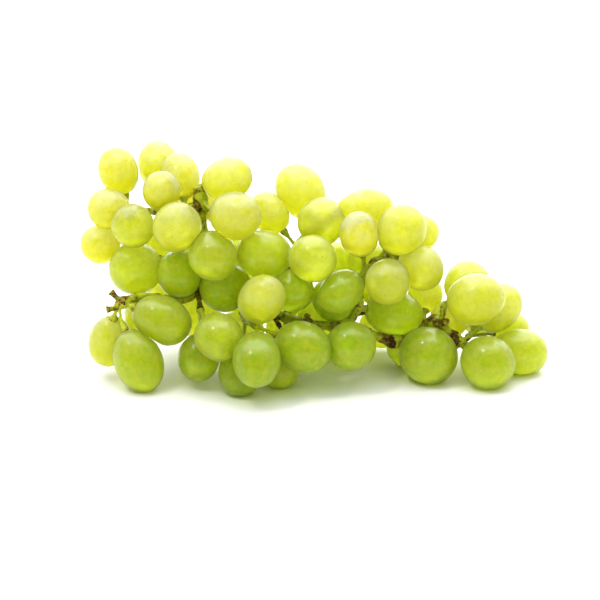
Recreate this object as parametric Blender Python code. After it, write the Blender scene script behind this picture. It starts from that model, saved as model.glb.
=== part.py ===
"""A bunch of large white table grapes, lying on its side as it was put down.

The stalk is one woody piece: a cut stem, a main stem that runs the length of the bunch, side stems
and a short stem to every berry. The berries of each side stem press on one another and are joined
there, one node for each cluster. Metres, +Z up, +X along the bunch from its shoulders to its tip.

Places in the lists below are in millimetres on the bunch's own face: along it, up it and back from
it. The face leans back from the upright by FACE_LEAN, as the bunch settles on a table.
"""

import math

import bmesh
import bpy
import numpy as np
from mathutils import Matrix, Vector

MM = 0.001
FACE_LEAN = math.radians(20.0)
TABLE_DROP = 7.5  # the table's height on the bunch's own face, below its zero line

# Berries
BERRY_SEGMENTS = 12
BERRY_RINGS = 6
FULLER_TIP = 0.04  # share by which a berry is fuller towards its tip than a plain ellipsoid
PRESS = 1.1  # how deep two neighbours of one cluster press together
MOST_PRESS = 1.5
CLEAR = 0.5  # the least room between berries of two clusters
FACET_SWELL = 1.02  # makes a berry of flat faces as large as a round one
FLAT_DEPTH = 0.6  # how much of a berry's round is pressed flat where it rests
NEAR_TABLE = 1.5  # a berry this close to the table rests on it
SETTLING_ROUNDS = 600
HASTE = 0.15  # share of a fault that one round mends
GIVE = np.array([0.25, 0.25, 1.0])  # berries give way most easily towards the face and the back

# Stems
LIMB_BEVEL = 1  # six sides
PEDICEL_BEVEL = 0  # four sides
STEM_STEP = 7.5  # length of the straight runs that a side stem is made of
STEM_ROUNDS = 25
TURNS_TO_REST = 4
STRAIGHTEN = 0.25
HOLD_PLACE = 0.1
ROOT_SINK = 0.5  # how far a stem starts past the middle of what it grows from
FORK_SPREAD = 2.2  # stems that leave one fork stand this far apart along it
PEDICEL_RADII = (1.0, 0.85, 1.0, 1.75)  # the last is the cushion that the berry sits on
PEDICEL_NECK = 2.4  # where the cushion starts, in front of the berry
PEDICEL_SEAT = 0.9  # how far the cushion sinks into the berry
SOCKET_ROOM = 0.3  # room between a stem and the berry around it
STUB_RADII = (1.3, 1.0, 1.35)
CUT_END_SWELL = 1.25  # the cut stem is thickest at its end

TABLE_SIZE = 300.0
SHARP_ANGLE = math.radians(50)

GRAPE = ("grape skin", (0.52, 0.62, 0.08), 0.35)
WOOD = ("green wood", (0.27, 0.24, 0.07), 0.7)

# Each limb grows from a point of another: (limb, point) or None for the main stem, which starts at
# its cut end. Then come its points and its radius at the root and at the end.
LIMBS = {
    "rachis": (None, [
        (-50, 90, -9), (-48.5, 79, -8), (-49, 68, -6), (-48, 57, -3), (-44, 48, 6), (-32, 40, 8),
        (-18, 34, 1), (-2, 28, -6), (14, 30, -8), (24, 25.5, -7), (35, 22, -6), (47, 31, 1),
        (54.5, 33, -8), (60, 25, -9), (64, 20, -9)], 2.6, 1.4),
    "wing": (("rachis", 1), [(-57, 80, -6), (-69, 78.5, -2), (-82.5, 79.5, 4)], 1.7, 1.2),
    "left_foot": (("rachis", 3), [
        (-50.5, 46, -3), (-55, 40, -8), (-63, 41, -9), (-73, 44, -13), (-81, 42, -17),
        (-86, 39.5, -20), (-86.5, 36.5, -21)], 1.7, 1.1),
    "left_heart": (("rachis", 3), [(-58, 58, 4), (-68, 56, 8)], 1.5, 1.1),
    "low_left": (("left_foot", 0), [(-50, 35, -13)], 1.2, 1.0),
    "low_front": (("rachis", 5), [(-31, 33, -5), (-32.5, 31, -15), (-25, 28.5, -26)], 1.6, 1.1),
    "belly": (("rachis", 6), [
        (-14, 46, -3), (-10, 55, -9), (-10.5, 65, -7), (-6, 70, -5), (3, 74, -2), (7.5, 77, -4)],
        1.7, 1.0),
    "keel": (("rachis", 6), [(-13, 24, -12)], 1.1, 0.9),
    "right_shoulder": (("rachis", 8), [
        (19.5, 38, -8), (19, 47, -11), (18, 54.5, -15), (26, 61, -13), (36, 60.5, -9),
        (42.5, 62.5, -7)], 1.7, 1.0),
    "back_middle": (("rachis", 6), [(-12, 31, 6)], 1.2, 1.0),
    "back_heart": (("rachis", 8), [(14, 32, 6)], 1.2, 1.0),
    "back_right": (("back_heart", 0), [(27, 36, 6)], 1.1, 0.9),
    "tip_up": (("rachis", 12), [(56.5, 38, -11)], 1.2, 1.0),
    "tip_back": (("rachis", 14), [(68, 24, 2)], 1.1, 0.9),
}

# Dry ends where a berry has dropped off: the point each grows from, and its end.
STUBS = [
    (("left_foot", 5), (-88.7, 43.6, -21)),
    (("left_foot", 6), (-90.5, 35.8, -22)),
    (("rachis", 1), (-53, 80.5, -13)),
    (("rachis", 7), (-3.5, 33, -12)),
    (("rachis", 12), (57.8, 30.5, -12)),
]

# The berries of each cluster: the point that each hangs from, its middle, its length and width.
CLUSTERS = {
    "wing_tip": [
        (("wing", 2), (-86.2, 98.8, 6), 21.5, 17.2),
        (("wing", 2), (-91.5, 80.3, -4), 19, 17.8),
        (("wing", 2), (-94, 63, 5), 18, 16.8),
        (("wing", 2), (-78.5, 70.7, -14), 20, 18.7),
    ],
    "wing_top": [
        (("wing", 1), (-70, 100.5, 15), 23, 17.5),
        (("wing", 0), (-59.6, 95.4, 1), 22, 17),
        (("wing", 1), (-67.3, 87.3, -13), 18, 16.3),
        (("wing", 0), (-53, 80, 9), 18, 16.5),
        (("rachis", 1), (-41.5, 81, 1), 18, 16.5),
    ],
    "shoulder": [
        (("wing", 0), (-60, 71.7, -24), 23, 21),
        (("rachis", 2), (-44, 58.5, -21), 25, 20.5),
        (("rachis", 1), (-34.3, 77, -29), 25, 20.6),
        (("rachis", 0), (-38.5, 93, -17), 24, 18.3),
    ],
    "left_foot": [
        (("left_foot", 5), (-63.2, 31.5, -20), 26.5, 20.6),
        (("left_foot", 6), (-78.4, 14.2, -23.5), 28.5, 20.6),
        (("left_foot", 6), (-90, 22.3, -9.5), 25, 18),
        (("left_foot", 4), (-75.5, 35.5, -1), 22, 18.5),
    ],
    "left_heart": [
        (("left_heart", 1), (-80, 53, -2), 24, 22.6),
        (("left_heart", 0), (-59.5, 52, -9), 23, 20),
        (("rachis", 4), (-38.5, 46, -8), 23, 22),
    ],
    "low_front": [
        (("low_left", 0), (-42.5, 26.2, -35), 23, 20.2),
        (("low_left", 0), (-53, 15.8, -14), 21, 17.8),
        (("low_front", 1), (-32, 9, -27), 23, 17.8),
        (("low_front", 2), (-23.3, 13.3, -41), 26.5, 20.5),
    ],
    "belly": [
        (("low_front", 1), (-23.7, 40.3, -32), 26, 19.5),
        (("belly", 0), (-8.5, 43, -16), 21, 18.5),
        (("belly", 1), (-1, 58, -28), 22, 20.2),
        (("belly", 1), (-23.5, 61, -17), 25.5, 21.4),
    ],
    "keel": [
        (("low_front", 2), (-5.5, 19.7, -31), 25.5, 21.5),
        (("keel", 0), (-15, 10.5, -17), 19, 16.5),
        (("rachis", 9), (15.7, 20.3, -24), 23, 21),
    ],
    "crown": [
        (("belly", 4), (-4.5, 88.5, 0), 25.5, 20.5),
        (("belly", 3), (1.5, 73.8, -16), 21, 20.8),
        (("belly", 5), (23.3, 80, -6), 26, 17),
        (("belly", 2), (-21.5, 76.8, -8), 20, 16.2),
    ],
    "right_shoulder": [
        (("right_shoulder", 2), (18.8, 68.5, -22), 20.5, 16.9),
        (("right_shoulder", 3), (36.9, 71.3, -22), 23, 20.8),
        (("right_shoulder", 5), (46, 69.7, -2), 17, 15.5),
        (("right_shoulder", 5), (47.8, 52.8, -14), 22.5, 19),
        (("right_shoulder", 4), (30.5, 47.5, -28), 21, 19),
    ],
    "right_heart": [
        (("right_shoulder", 2), (11.5, 44, -24), 24, 17),
        (("rachis", 8), (8, 40, -6), 20, 18),
        (("rachis", 7), (2, 33, 10), 20, 18),
    ],
    "right_low": [
        (("right_shoulder", 0), (35, 35, -5), 26, 19.6),
        (("rachis", 10), (49.5, 16.5, -13), 26, 24.6),
        (("rachis", 10), (41.5, 20, 7), 20, 18),
    ],
    "tip_top": [
        (("tip_up", 0), (70.3, 40, -19), 26, 21.8),
        (("tip_up", 0), (68, 47.8, 0), 21, 19.8),
        (("rachis", 14), (80, 36.3, -1), 24, 18.6),
        (("rachis", 12), (61.5, 29, 8), 18, 16.8),
        (("rachis", 11), (47, 43.5, 7), 17, 15.2),
    ],
    "tip_end": [
        (("rachis", 14), (91.5, 16.5, -9), 25.5, 20),
        (("rachis", 14), (74, 12.3, -22), 24.5, 22.6),
        (("tip_back", 0), (88.5, 28, 13), 17, 14.8),
        (("tip_back", 0), (71, 33, 18), 19, 17),
    ],
    "back_left": [
        (("left_heart", 1), (-66, 47, 20), 21, 19),
        (("rachis", 4), (-50, 33, 22), 22, 20),
        (("left_heart", 0), (-56, 62, 16), 21, 19),
        (("left_heart", 1), (-72, 64, 20), 21, 19),
    ],
    "back_middle": [
        (("rachis", 3), (-36, 60, 10), 21, 19),
        (("rachis", 4), (-32, 44, 20), 22, 19.5),
        (("rachis", 5), (-34, 27, 22), 22, 19.5),
        (("belly", 0), (-17, 54, 9), 20, 18),
        (("back_middle", 0), (-12, 42, 14), 21, 19),
        (("back_middle", 0), (-12, 27, 20), 22, 19.5),
    ],
    "back_right": [
        (("back_heart", 0), (8, 26, 20), 22, 19.5),
        (("back_heart", 0), (14, 44, 16), 21, 19),
        (("back_right", 0), (30, 46, 12), 21, 18.5),
        (("back_right", 0), (30, 29, 19), 21, 19.5),
        (("right_shoulder", 3), (24.5, 57, 3), 20, 18),
        (("belly", 1), (9, 57, 6), 19, 17),
        (("right_shoulder", 4), (37, 59, 5), 19, 17),
    ],
}


def unit(vectors):
    """The vectors at length 1."""
    return vectors / np.linalg.norm(vectors, axis=-1, keepdims=True)


class Berries:
    """Every berry of the bunch, in millimetres on the bunch's own face."""

    def __init__(self):
        rows = [(name, *row) for name, cluster in CLUSTERS.items() for row in cluster]
        self.cluster = [row[0] for row in rows]
        self.root = [row[1] for row in rows]
        self.forks = {(limb, k): np.array(point, float) for limb, (_, points, *_) in LIMBS.items()
                      for k, point in enumerate(points)}
        self.middle = np.array([row[2] for row in rows], float)
        self.half_length = np.array([row[3] for row in rows]) / 2
        self.half_width = np.array([row[4] for row in rows]) / 2
        self.aim()

    def aim(self):
        """A berry's long axis follows the stem that it hangs on, from the fork to its tip."""
        self.axis = unit(self.middle - np.array([self.forks[root] for root in self.root]))

    def stem_end(self, i):
        """The point of berry i where its stem goes in."""
        return self.middle[i] - self.axis[i] * self.half_length[i]

    def support(self, i, way):
        """How far berry i reaches along a direction: the distance of its tangent plane."""
        slant = (self.axis[i] * way).sum(-1) ** 2
        long, wide = self.half_length[i] ** 2, self.half_width[i] ** 2
        return np.sqrt(wide + (long - wide) * slant)

    def radius(self, i, way):
        """The distance from berry i's middle to its skin along a direction."""
        slant = (self.axis[i] * way).sum(-1) ** 2
        return 1 / np.sqrt(slant / self.half_length[i] ** 2 + (1 - slant) / self.half_width[i] ** 2)

    def push_out(self, point, room):
        """The point, moved straight out of any berry that it is in or nearer to than the room."""
        for _ in range(2):
            away = point - self.middle
            along = (away * self.axis).sum(-1) ** 2
            across = (away ** 2).sum(-1) - along
            depth = np.sqrt(
                along / (self.half_length + room) ** 2 + across / (self.half_width + room) ** 2)
            i = depth.argmin()
            if depth[i] < 1:
                point = self.middle[i] + away[i] / depth[i]
        return point

    def neighbours(self):
        """For each cluster, the pairs that tie it together by the smallest gaps."""
        ties = []
        for name in CLUSTERS:
            group = [i for i, cluster in enumerate(self.cluster) if cluster == name]
            pairs = [(i, j) for i in group for j in group if i < j]
            joined = {i: {i} for i in group}
            for i, j in sorted(pairs, key=lambda pair: self.gap(*pair)):
                if joined[i] is not joined[j]:
                    ties.append((i, j))
                    joined[i] |= joined[j]
                    for k in joined[i]:
                        joined[k] = joined[i]
        return ties

    def gap(self, i, j):
        """The gap between two berries' skins along the line of their middles."""
        apart = self.middle[j] - self.middle[i]
        way = unit(apart)
        return np.linalg.norm(apart, axis=-1) - self.radius(i, way) - self.radius(j, way)

    def shift(self, i, j, amount):
        """Moves each pair apart by an amount, half each, the easier way more."""
        way = unit(self.middle[j] - self.middle[i])
        ease = way * GIVE
        step = ease * (amount / 2 / (ease * way).sum(-1))[:, None]
        np.add.at(self.middle, i, -step)
        np.add.at(self.middle, j, step)

    def settle(self):
        """Berries swell until they press on each other and on the table, and each gives way."""
        i, j = np.triu_indices(len(self.middle), 1)
        kin = np.array([self.cluster[a] == self.cluster[b] for a, b in zip(i, j)])
        tie_i, tie_j = np.array(self.neighbours()).T
        up = np.array([0.0, math.cos(FACE_LEAN), -math.sin(FACE_LEAN)])
        for _ in range(SETTLING_ROUNDS):
            self.aim()
            apart = self.middle[j] - self.middle[i]
            distance = np.linalg.norm(apart, axis=1)
            way = apart / distance[:, None]
            pressed = self.radius(i, way) + self.radius(j, way) - MOST_PRESS
            clear = self.support(i, way) + self.support(j, way) + CLEAR
            short = np.where(kin, pressed, clear) - distance
            close = short > 0
            self.shift(i[close], j[close], HASTE * short[close])
            self.shift(tie_i, tie_j, -HASTE * np.maximum(self.gap(tie_i, tie_j) + PRESS, 0))
            every = np.arange(len(self.middle))
            lowest = self.middle @ up - TABLE_DROP - self.support(every, up)
            sink = lowest + FLAT_DEPTH
            resting = lowest < NEAR_TABLE
            self.middle[resting] -= HASTE * sink[resting, None] * up
        self.aim()


def lay_down(points):
    """Points on the bunch's own face, turned to lie on the table, still in millimetres."""
    along, up, back = np.moveaxis(np.asarray(points, float), -1, 0)
    lean_sin, lean_cos = math.sin(FACE_LEAN), math.cos(FACE_LEAN)
    return np.stack(
        [along, up * lean_sin + back * lean_cos, up * lean_cos - back * lean_sin - TABLE_DROP], -1)


def spline_through(points, step):
    """A smooth curve through points, and the place along it of each of them."""
    points = np.asarray(points, float)
    ends = np.vstack([2 * points[0] - points[1], points, 2 * points[-1] - points[-2]])
    path = [points[0]]
    knots = [0]
    for k in range(1, len(points)):
        before, start, end, after = ends[k - 1:k + 3]
        parts = max(1, round(np.linalg.norm(end - start) / step))
        for t in np.arange(1, parts + 1) / parts:
            path.append(0.5 * (
                2 * start + (end - before) * t + (2 * before - 5 * start + 4 * end - after) * t ** 2
                + (3 * start - before - 3 * end + after) * t ** 3))
        knots.append(len(path) - 1)
    return np.array(path), knots


class Stem:
    """One run of stem: its points, its radius at each, and where it grows from."""

    def __init__(self, points, radii, root=None, berry=None):
        self.points = np.array(points, float)
        self.chosen = self.points.copy()
        self.radii = np.array(radii, float)
        self.root = root
        self.back = 0.0
        self.berry = berry


class Stalk:
    """The main stem, its side stems, dry stubs, and the short stem of every berry."""

    def __init__(self, berries):
        self.berries = berries
        self.stems = []
        self.place = {}
        for name, (root, points, thick, thin) in LIMBS.items():
            if root:
                points = [self.point(root), *points]
            path, knots = spline_through(points, STEM_STEP)
            self.stems.append(Stem(path, np.linspace(thick, thin, len(path)), root))
            for k, knot in enumerate(knots[1:] if root else knots):
                self.place[name, k] = (self.stems[-1], knot)
        self.stems[0].radii[0] *= CUT_END_SWELL
        for root, tip in STUBS:
            start = self.point(root)
            self.stems.append(Stem([start, (start + tip) / 2, tip], STUB_RADII, root))
        for i, root in enumerate(berries.root):
            self.stems.append(Stem(np.zeros((len(PEDICEL_RADII), 3)), PEDICEL_RADII, root, i))
        self.spread()
        self.hang()

    def spread(self):
        """Stems that leave one fork stand one behind another along it."""
        crowd = {}
        for stem in self.stems[1:]:
            stem.back = crowd.get(stem.root, 0) * FORK_SPREAD
            crowd[stem.root] = crowd.get(stem.root, 0) + 1

    def point(self, place, back=0.0):
        """Where a (limb, index) pair is now, or a place this far back along that limb."""
        stem, index = self.place[place]
        while index and back:
            run = stem.points[index - 1] - stem.points[index]
            length = np.linalg.norm(run)
            if back < length:
                return stem.points[index] + run * back / length
            back -= length
            index -= 1
        return stem.points[index]

    def hang(self):
        """Each berry's short stem leaves its fork and meets the berry straight on."""
        for stem in self.stems:
            if stem.berry is None:
                continue
            berries, i = self.berries, stem.berry
            start = self.point(stem.root, stem.back)
            seat = berries.stem_end(i) + berries.axis[i] * PEDICEL_SEAT
            room = np.linalg.norm(berries.stem_end(i) - start)
            neck = berries.stem_end(i) - berries.axis[i] * min(PEDICEL_NECK, room / 2)
            bend = neck - berries.axis[i] * np.linalg.norm(neck - start) * 0.4
            for k, t in enumerate((0, 0.5, 1)):
                stem.points[k] = (1 - t) ** 2 * start + 2 * t * (1 - t) * bend + t ** 2 * neck
            stem.points[3] = seat
            stem.chosen = stem.points.copy()

    def bend_clear(self):
        """Stems find their way between the berries, and stay near where they were drawn."""
        for _ in range(STEM_ROUNDS):
            for stem in self.stems:
                if stem.root:
                    stem.points[0] = self.point(stem.root, stem.back)
                last = len(stem.points) - (2 if stem.berry is not None else 0)
                inner = slice(1, last if last < len(stem.points) else last - 1)
                points = stem.points
                between = (points[:-2] + points[2:]) / 2
                points[inner] += STRAIGHTEN * (between[:inner.stop - 1] - points[inner])
                points[inner] += HOLD_PLACE * (stem.chosen[inner] - points[inner])
                first = 1 if stem.root else 0
                for k in range(first, last):
                    points[k] = self.berries.push_out(points[k], stem.radii[k] + SOCKET_ROOM)
        for (name, index), (stem, knot) in self.place.items():
            self.berries.forks[name, index] = stem.points[knot].copy()


def bunch_centre(berries):
    """The middle of the bunch's box along and across the table, in millimetres."""
    middle = lay_down(berries.middle)
    axis = lay_down(berries.axis) - lay_down(np.zeros(3))
    reach = np.sqrt(berries.half_width[:, None] ** 2 + axis ** 2 * (
        berries.half_length ** 2 - berries.half_width ** 2)[:, None])
    centre = ((middle - reach).min(0) + (middle + reach).max(0)) / 2
    return np.array([centre[0], centre[1], 0.0])


def clear_scene():
    """Takes away whatever objects the scene starts with."""
    for thing in list(bpy.data.objects):
        bpy.data.objects.remove(thing, do_unlink=True)


def new_material(name, colour, roughness):
    """A plain Principled material."""
    material = bpy.data.materials.new(name)
    material.use_nodes = True
    shader = material.node_tree.nodes["Principled BSDF"]
    shader.inputs["Base Color"].default_value = (*colour, 1.0)
    shader.inputs["Roughness"].default_value = roughness
    shader.inputs["Metallic"].default_value = 0.0
    return material


def new_collection(name):
    """A collection in the scene."""
    collection = bpy.data.collections.new(name)
    bpy.context.scene.collection.children.link(collection)
    return collection


def new_object(name, data, collection):
    """An object in a collection."""
    thing = bpy.data.objects.new(name, data)
    collection.objects.link(thing)
    return thing


def berry_mesh(half_length, half_width, axis, middle):
    """An egg-shaped berry of few faces, fuller towards its tip, with its axis turned to its own."""
    bm = bmesh.new()
    bmesh.ops.create_uvsphere(bm, u_segments=BERRY_SEGMENTS, v_segments=BERRY_RINGS, radius=1.0)
    turn = Vector((0, 0, 1)).rotation_difference(Vector(axis)).to_matrix()
    for vertex in bm.verts:
        fuller = FACET_SWELL * (1 + FULLER_TIP * vertex.co.z) * half_width
        shaped = Vector((vertex.co.x * fuller, vertex.co.y * fuller,
                         vertex.co.z * half_length * FACET_SWELL))
        vertex.co = (turn @ shaped + Vector(middle)) * MM
    mesh = bpy.data.meshes.new("berry")
    bm.to_mesh(mesh)
    bm.free()
    return mesh


def stem_mesh(stem, grow):
    """A tapered tube of few sides with closed ends. Growing it makes the cutter for its sockets."""
    points = lay_down(stem.points)
    points[0] -= unit(points[1] - points[0]) * (ROOT_SINK + grow)
    points[-1] += unit(points[-1] - points[-2]) * grow
    curve = bpy.data.curves.new("stem", "CURVE")
    curve.dimensions = "3D"
    curve.bevel_depth = MM
    curve.bevel_resolution = LIMB_BEVEL if stem.berry is None else PEDICEL_BEVEL
    curve.use_fill_caps = True
    spline = curve.splines.new("POLY")
    spline.points.add(len(points) - 1)
    for control, point, radius in zip(spline.points, points, stem.radii):
        control.co = (*(point * MM), 1.0)
        control.radius = radius + grow
    tube = bpy.data.objects.new("stem", curve)
    bpy.context.scene.collection.objects.link(tube)
    graph = bpy.context.evaluated_depsgraph_get()
    mesh = bpy.data.meshes.new_from_object(tube.evaluated_get(graph))
    bpy.data.objects.remove(tube)
    bm = bmesh.new()
    bm.from_mesh(mesh)
    bmesh.ops.remove_doubles(bm, verts=bm.verts, dist=1e-6)
    bmesh.ops.recalc_face_normals(bm, faces=bm.faces)
    bm.to_mesh(mesh)
    bm.free()
    return mesh


def apply_boolean(thing, operation, others):
    """Joins or cuts an object with all of a collection's objects, and applies it.

    The solver is MANIFOLD, because EXACT leaves faces that touch where many stems meet.
    """
    boolean = thing.modifiers.new(operation.lower(), "BOOLEAN")
    boolean.operation = operation
    boolean.operand_type = "COLLECTION"
    boolean.collection = others
    boolean.solver = "MANIFOLD"
    graph = bpy.context.evaluated_depsgraph_get()
    mesh = bpy.data.meshes.new_from_object(thing.evaluated_get(graph))
    thing.modifiers.remove(boolean)
    thing.data = mesh


def join_all(name, meshes, collection):
    """One object from many overlapping meshes, by one union on a collection."""
    repeats = new_collection(name + "_repeats")
    thing = new_object(name, meshes[0], collection)
    for mesh in meshes[1:]:
        new_object(name + "_repeat", mesh, repeats)
    apply_boolean(thing, "UNION", repeats)
    for repeat in list(repeats.objects):
        bpy.data.objects.remove(repeat)
    bpy.data.collections.remove(repeats)
    return thing


def table_mesh(centre):
    """A slab whose top is the table, to press the lowest berries flat."""
    bm = bmesh.new()
    bmesh.ops.create_cube(bm, size=1.0)
    for vertex in bm.verts:
        vertex.co = (vertex.co * TABLE_SIZE - Vector((0, 0, TABLE_SIZE / 2))) * MM
        vertex.co += Vector(centre) * MM
    mesh = bpy.data.meshes.new("table")
    bm.to_mesh(mesh)
    bm.free()
    return mesh


def finish(thing, material, centre):
    """Moves an object's mesh to the bunch's own origin, smooths its shading and colours it."""
    thing.data.transform(Matrix.Translation(Vector(-centre) * MM))
    thing.data.shade_smooth()
    thing.data.set_sharp_from_angle(angle=SHARP_ANGLE)
    thing.data.materials.clear()
    thing.data.materials.append(material)


def grow_bunch():
    """The berries and the stalk, each in its settled place."""
    berries = Berries()
    berries.settle()
    stalk = Stalk(berries)
    for _ in range(TURNS_TO_REST):
        stalk.bend_clear()
        berries.settle()
        stalk.hang()
    return berries, stalk


def main():
    """Builds the stalk and every cluster of berries."""
    clear_scene()
    bunch = new_collection("bunch_of_grapes")
    cutters = new_collection("cutters")
    berries, stalk = grow_bunch()
    centre = bunch_centre(berries)
    wood = join_all("stalk", [stem_mesh(stem, 0) for stem in stalk.stems], bunch)
    join_all("sockets", [stem_mesh(stem, SOCKET_ROOM) for stem in stalk.stems], cutters)
    new_object("table", table_mesh(centre), cutters)
    for cutter in cutters.objects:
        cutter.hide_render = True
        cutter.display_type = "WIRE"
    axis = lay_down(berries.axis) - lay_down(np.zeros(3))
    middle = lay_down(berries.middle)
    grape = new_material(*GRAPE)
    for name in CLUSTERS:
        group = [i for i, cluster in enumerate(berries.cluster) if cluster == name]
        eggs = [berry_mesh(berries.half_length[i], berries.half_width[i], axis[i], middle[i])
                for i in group]
        cluster = join_all("berries_" + name, eggs, bunch)
        apply_boolean(cluster, "DIFFERENCE", cutters)
        finish(cluster, grape, centre)
    finish(wood, new_material(*WOOD), centre)
    for cutter in cutters.objects:
        cutter.data.transform(Matrix.Translation(Vector(-centre) * MM))


if __name__ == "__main__":
    main()
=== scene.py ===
"""A bunch of large white table grapes, dressed: waxy translucent berries on a knobby green stalk.

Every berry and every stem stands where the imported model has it, because both come from the same
lists and the same rules. Each cluster of berries stands for one packed cluster, the fine stalk for
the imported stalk. Geometry Nodes set out the berries, scars and warts, draw the stems and roughen
the bark. Metres, +Z up, +X along the bunch.

Places in the lists are in millimetres on the bunch's own face: along it, up it and back from it.
"""

import math

import bmesh
import bpy
import numpy as np
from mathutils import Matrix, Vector
from mathutils.kdtree import KDTree


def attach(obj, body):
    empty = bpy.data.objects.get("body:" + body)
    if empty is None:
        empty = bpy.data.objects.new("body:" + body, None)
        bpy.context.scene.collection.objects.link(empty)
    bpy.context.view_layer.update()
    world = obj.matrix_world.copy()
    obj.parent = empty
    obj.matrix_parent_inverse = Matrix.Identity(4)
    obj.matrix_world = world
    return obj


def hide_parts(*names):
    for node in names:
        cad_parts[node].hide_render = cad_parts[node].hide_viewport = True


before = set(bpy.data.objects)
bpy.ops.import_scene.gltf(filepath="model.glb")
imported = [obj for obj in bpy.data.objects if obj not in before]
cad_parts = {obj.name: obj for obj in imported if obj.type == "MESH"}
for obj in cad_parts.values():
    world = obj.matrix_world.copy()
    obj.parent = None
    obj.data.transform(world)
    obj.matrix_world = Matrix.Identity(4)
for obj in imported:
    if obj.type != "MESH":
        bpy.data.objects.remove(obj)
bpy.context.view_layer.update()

MM = 0.001
FACE_LEAN = math.radians(20.0)
TABLE_DROP = 7.5  # the table's height on the bunch's own face, below its zero line

# How the berries settle, in millimetres
PRESS = 1.1  # how deep two neighbours of one cluster press together
MOST_PRESS = 1.5
CLEAR = 0.5  # the least room between berries of two clusters
FLAT_DEPTH = 0.6  # how much of a berry's round is pressed flat where it rests
NEAR_TABLE = 1.5  # a berry this close to the table rests on it
SETTLING_ROUNDS = 600
HASTE = 0.15  # share of a fault that one round mends
GIVE = np.array([0.25, 0.25, 1.0])  # berries give way most easily towards the face and the back

# How the stems find their way, in millimetres
STEM_STEP = 7.5  # length of the straight runs that a side stem is first made of
STEM_ROUNDS = 25
TURNS_TO_REST = 4
PUSHES = 2  # a push out of one berry can end in the next
STRAIGHTEN = 0.25  # share of a bend that one round takes out
HOLD_PLACE = 0.1  # share of its way back to where it was drawn that a stem goes in one round
FORK_SPREAD = 2.2  # stems that leave one fork stand this far apart along it
PEDICEL_RADII = (1.0, 0.85, 1.0, 1.75)  # the last is the cushion that the berry sits on
PEDICEL_NECK = 2.4  # where the cushion starts, in front of the berry
PEDICEL_SEAT = 0.9  # how far the cushion sinks into the berry
PEDICEL_BEND = 0.4  # how far from the berry its short stem turns, as a share of the way to the fork
SOCKET_ROOM = 0.3  # room between a stem and the berry around it
STUB_RADII = (1.3, 1.0, 1.35)
CUT_END_SWELL = 1.25  # the cut stem is thickest at its end

# The fine berries, in millimetres
BERRY_FACES = {"Segments": 64, "Rings": 44}
SWELL = 0.25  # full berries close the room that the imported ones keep
FULLER_TIP = 0.04  # share by which a berry is fuller towards its tip
TAPER_SPREAD = 0.035  # how much berries differ in that
LUMPS = ((2, 0.014), (3, 0.007), (4, 0.004))  # waves round a berry, and each one's share of its width
BEND_SPREAD = 0.35  # how far the middle of a berry stands off its axis
BEND_SIDE = (0.3, 0.5, 0.8)  # a berry bends square to this and to its axis
PRESS_EDGE = 0.4  # how round the edge of a pressed spot is
STEM_DIMPLE = (0.75, 2.7)  # depth and reach
TIP_DIMPLE = (0.35, 1.3)
# Each berry has a chance number from 0 to 1. These spread it out, so that no two berries are alike.
LUMP_TURNS = (7.3, 0.31)
BEND_TURNS = 40
VEIN_SHIFT = 10

# The scars, in millimetres
SCAR_FACES = {"Segments": 14, "Rings": 8}
SCAR_SINK = 0.45
SCAR_RADII = (0.28, 0.45)
SCAR_FLATNESS = 0.42  # its height, as a share of its width
SCAR_RAGS = (2.3, 0.5)  # how close together, and how deep, on a ball of radius 1
SCAR_CLEAR_OF_TABLE = 1.5

# The fine stalk, in millimetres
STALK_STEP = 0.8
TUBE_SIDES = 12
WELD_GAP = 0.001
STALK_VOXEL = 0.4
STALK_SMOOTHING = (0.5, 4)  # strength and rounds
THICKEST = 3.6  # the most that a stem's radius swells to
KNOB_SPACING = 5.5
KNOB_STRAY = 1.0  # how far a knob may be from its even place
# The collar of a berry's short stem: how far from the end that is in the berry, and the radius
COLLAR = ((0.0, 1.5), (0.8, 2.05), (1.5, 1.85), (2.5, 1.15), (4.0, 0.9))
PEDICEL_FOOT = (1.2, 1.8)  # radius at its fork, and how far it tapers from there
PEDICEL_WAIST = 0.85
PEDICEL_WAIST_SPREAD = (0.9, 1.15)
CUT_END_SLIMMER = ((0.0, 14.0, 40.0), (0.62, 0.7, 1.0))  # along the main stem, its share of full width
STUB_FLARE = (0.35, 1.6, 0.2)  # how much wider its end is, and how far from it that starts and is full
# Thicker places: share of the radius, reach along the stem, and how much drier the bark is there
FORK_SWELLING = (0.28, 2.6, 0.25)
KNOB_SWELLING = (0.16, 1.3, 0.15)
# The thick places of the main stem: where on the face, and then as above. The first one's darker bark
# is partly painted shade, where the main stem lies deep in the bunch's shade.
BURLS = [((33, 23), 0.45, 5.0, 0.7), ((52, 33), 0.35, 4.5, 0.1), ((64, 21), 0.45, 4.5, 0.7)]
# How dry the bark is, from 0 for green to above 1 for nearly black
LIMB_DRYNESS = (0.25, 0.45)
PEDICEL_DRYNESS = (0.1, 0.5)
COLLAR_DRYNESS = (0.18, 0.45)
COLLAR_DRY_REACH = (3.0, 1.0)  # how far from that end the collar starts to be dry, and is driest
STUB_DRYNESS = 0.6
# Relief of the bark: size and height. The real wrinkles are finer, and would not show.
BARK_KNOBS = (2.6, 0.7)
BARK_WRINKLES = (0.9, 0.3)
WART_FACES = {"Segments": 6, "Rings": 4}
WART_FORM = (1.0, 0.75, 0.55)
WART_SPACING = 1.1
WART_CROWD = 4e5  # how many are tried on a square metre
WART_RADII = (0.12, 0.34)

SEED = 11

# Skin and flesh
GREEN_FLESH = "#92C804"
YELLOW_FLESH = "#ECE42C"
FLESH_DEPTHS = (0.08, 0.08, 0.006)  # how far red, green and blue go into the flesh, in metres
FLESH_GRAIN = (0.87, 1.15)  # how light the flesh is in its dark and light patches
GRAIN_SPAN = (0.3, 0.7)  # the values that the grain's noise mostly stays between
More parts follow.
